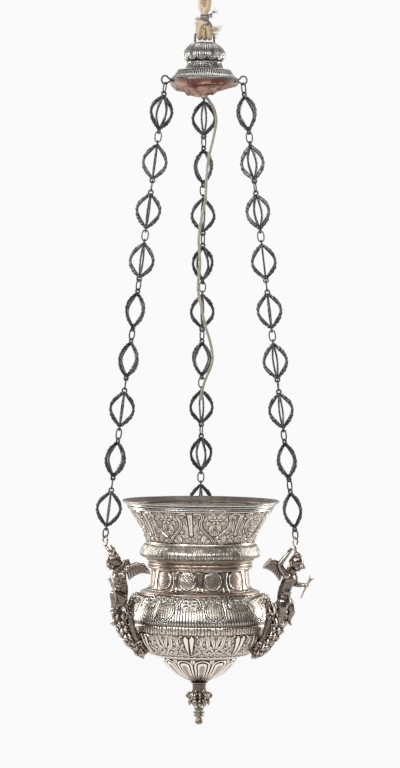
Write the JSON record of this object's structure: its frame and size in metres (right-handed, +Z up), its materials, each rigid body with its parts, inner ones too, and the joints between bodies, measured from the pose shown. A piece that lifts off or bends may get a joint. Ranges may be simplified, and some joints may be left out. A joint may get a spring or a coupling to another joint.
{
  "type": "hanging sanctuary lamp",
  "caption": "Hanging silver sanctuary lamp: gadrooned canopy on a rope, openwork cage chains, winged figures and an embossed bowl with a pendant finial.",
  "frame": {"origin": "On the lamp's axis, at the crown of the rope's eye, where the hook that holds it bears.", "axes": "+Z up along the lamp's axis, +X to the right as seen from the front, +Y away from the viewer towards the back chain."},
  "size_m": [0.3301, 0.3122, 1.2426],
  "materials": {
    "silver": "embossed and chased silver, softly polished, with brown patina in the recesses",
    "dark_silver": "cast silver and wire, darkened almost to black",
    "hemp": "laid hemp rope, dusty and a little frayed",
    "twine": "thin violet-grey twine",
    "lining_cloth": "crumpled, faded red-brown cloth",
    "flex_sheath": "smooth pale olive-grey sheath"
  },
  "bodies": {
    "rope": {"rope": "hemp", "rope_turns": "hemp", "twine_seizing": "twine"},
    "canopy": {"stirrup": "dark_silver", "canopy_dome": "silver", "canopy_collar": "silver", "canopy_flange": "silver", "canopy_lining": "lining_cloth", "rim_eye_back": "dark_silver", "rim_eye_left": "dark_silver", "rim_eye_right": "dark_silver", "flex": "flex_sheath"},
    "chain_back": {"chain_back_cage_1": "dark_silver", "chain_back_cage_2": "dark_silver", "chain_back_cage_3": "dark_silver", "chain_back_cage_4": "dark_silver", "chain_back_cage_5": "dark_silver", "chain_back_cage_6": "dark_silver", "chain_back_cage_7": "dark_silver", "chain_back_cage_8": "dark_silver", "chain_back_cage_9": "dark_silver", "chain_back_end_link": "dark_silver"},
    "chain_left": {"chain_left_cage_1": "dark_silver", "chain_left_cage_2": "dark_silver", "chain_left_cage_3": "dark_silver", "chain_left_cage_4": "dark_silver", "chain_left_cage_5": "dark_silver", "chain_left_cage_6": "dark_silver", "chain_left_cage_7": "dark_silver", "chain_left_cage_8": "dark_silver", "chain_left_cage_9": "dark_silver", "chain_left_end_link": "dark_silver"},
    "chain_right": {"chain_right_cage_1": "dark_silver", "chain_right_cage_2": "dark_silver", "chain_right_cage_3": "dark_silver", "chain_right_cage_4": "dark_silver", "chain_right_cage_5": "dark_silver", "chain_right_cage_6": "dark_silver", "chain_right_cage_7": "dark_silver", "chain_right_cage_8": "dark_silver", "chain_right_cage_9": "dark_silver", "chain_right_end_link": "dark_silver"},
    "bowl": {"bowl_rim": "silver", "bowl_neck": "silver", "ribbed_band": "silver", "moulding_ring": "silver", "waist_drum": "silver", "bulge_upper": "silver", "bulge_lower": "silver", "lower_cup": "silver", "knop": "silver", "finial_tip": "silver", "tie_rod": "dark_silver", "tie_nut": "dark_silver", "bracket_back": "silver", "bracket_left": "silver", "bracket_right": "silver", "figure_back": "silver", "figure_left": "silver", "figure_right": "silver"}
  },
  "joints": [
    {"name": "canopy_swing", "type": "hinge", "parent": "rope", "child": "canopy", "pos_m": [0, 0, -0.1264], "axis": [1, 0, 0], "range_deg": [-15, 15]},
    {"name": "chain_back_swing", "type": "hinge", "parent": "canopy", "child": "chain_back", "pos_m": [0, 0.0715, -0.2112], "axis": [0, 1, 0], "range_deg": [-10, 10]},
    {"name": "chain_left_swing", "type": "hinge", "parent": "canopy", "child": "chain_left", "pos_m": [-0.06192, -0.03575, -0.2112], "axis": [0, 1, 0], "range_deg": [-10, 10]},
    {"name": "chain_right_swing", "type": "hinge", "parent": "canopy", "child": "chain_right", "pos_m": [0.06192, -0.03575, -0.2112], "axis": [0, 1, 0], "range_deg": [-10, 10]},
    {"name": "bowl_swing", "type": "hinge", "parent": "chain_back", "child": "bowl", "pos_m": [0, 0.1729, -0.9252], "axis": [0, 1, 0], "range_deg": [-4.2, 4.2]}
  ],
  "couplings": [
    {"joint": "chain_left_swing", "follows": "chain_back_swing", "ratio": 1},
    {"joint": "chain_right_swing", "follows": "chain_back_swing", "ratio": 1},
    {"joint": "bowl_swing", "follows": "chain_back_swing", "ratio": -0.4135}
  ]
}
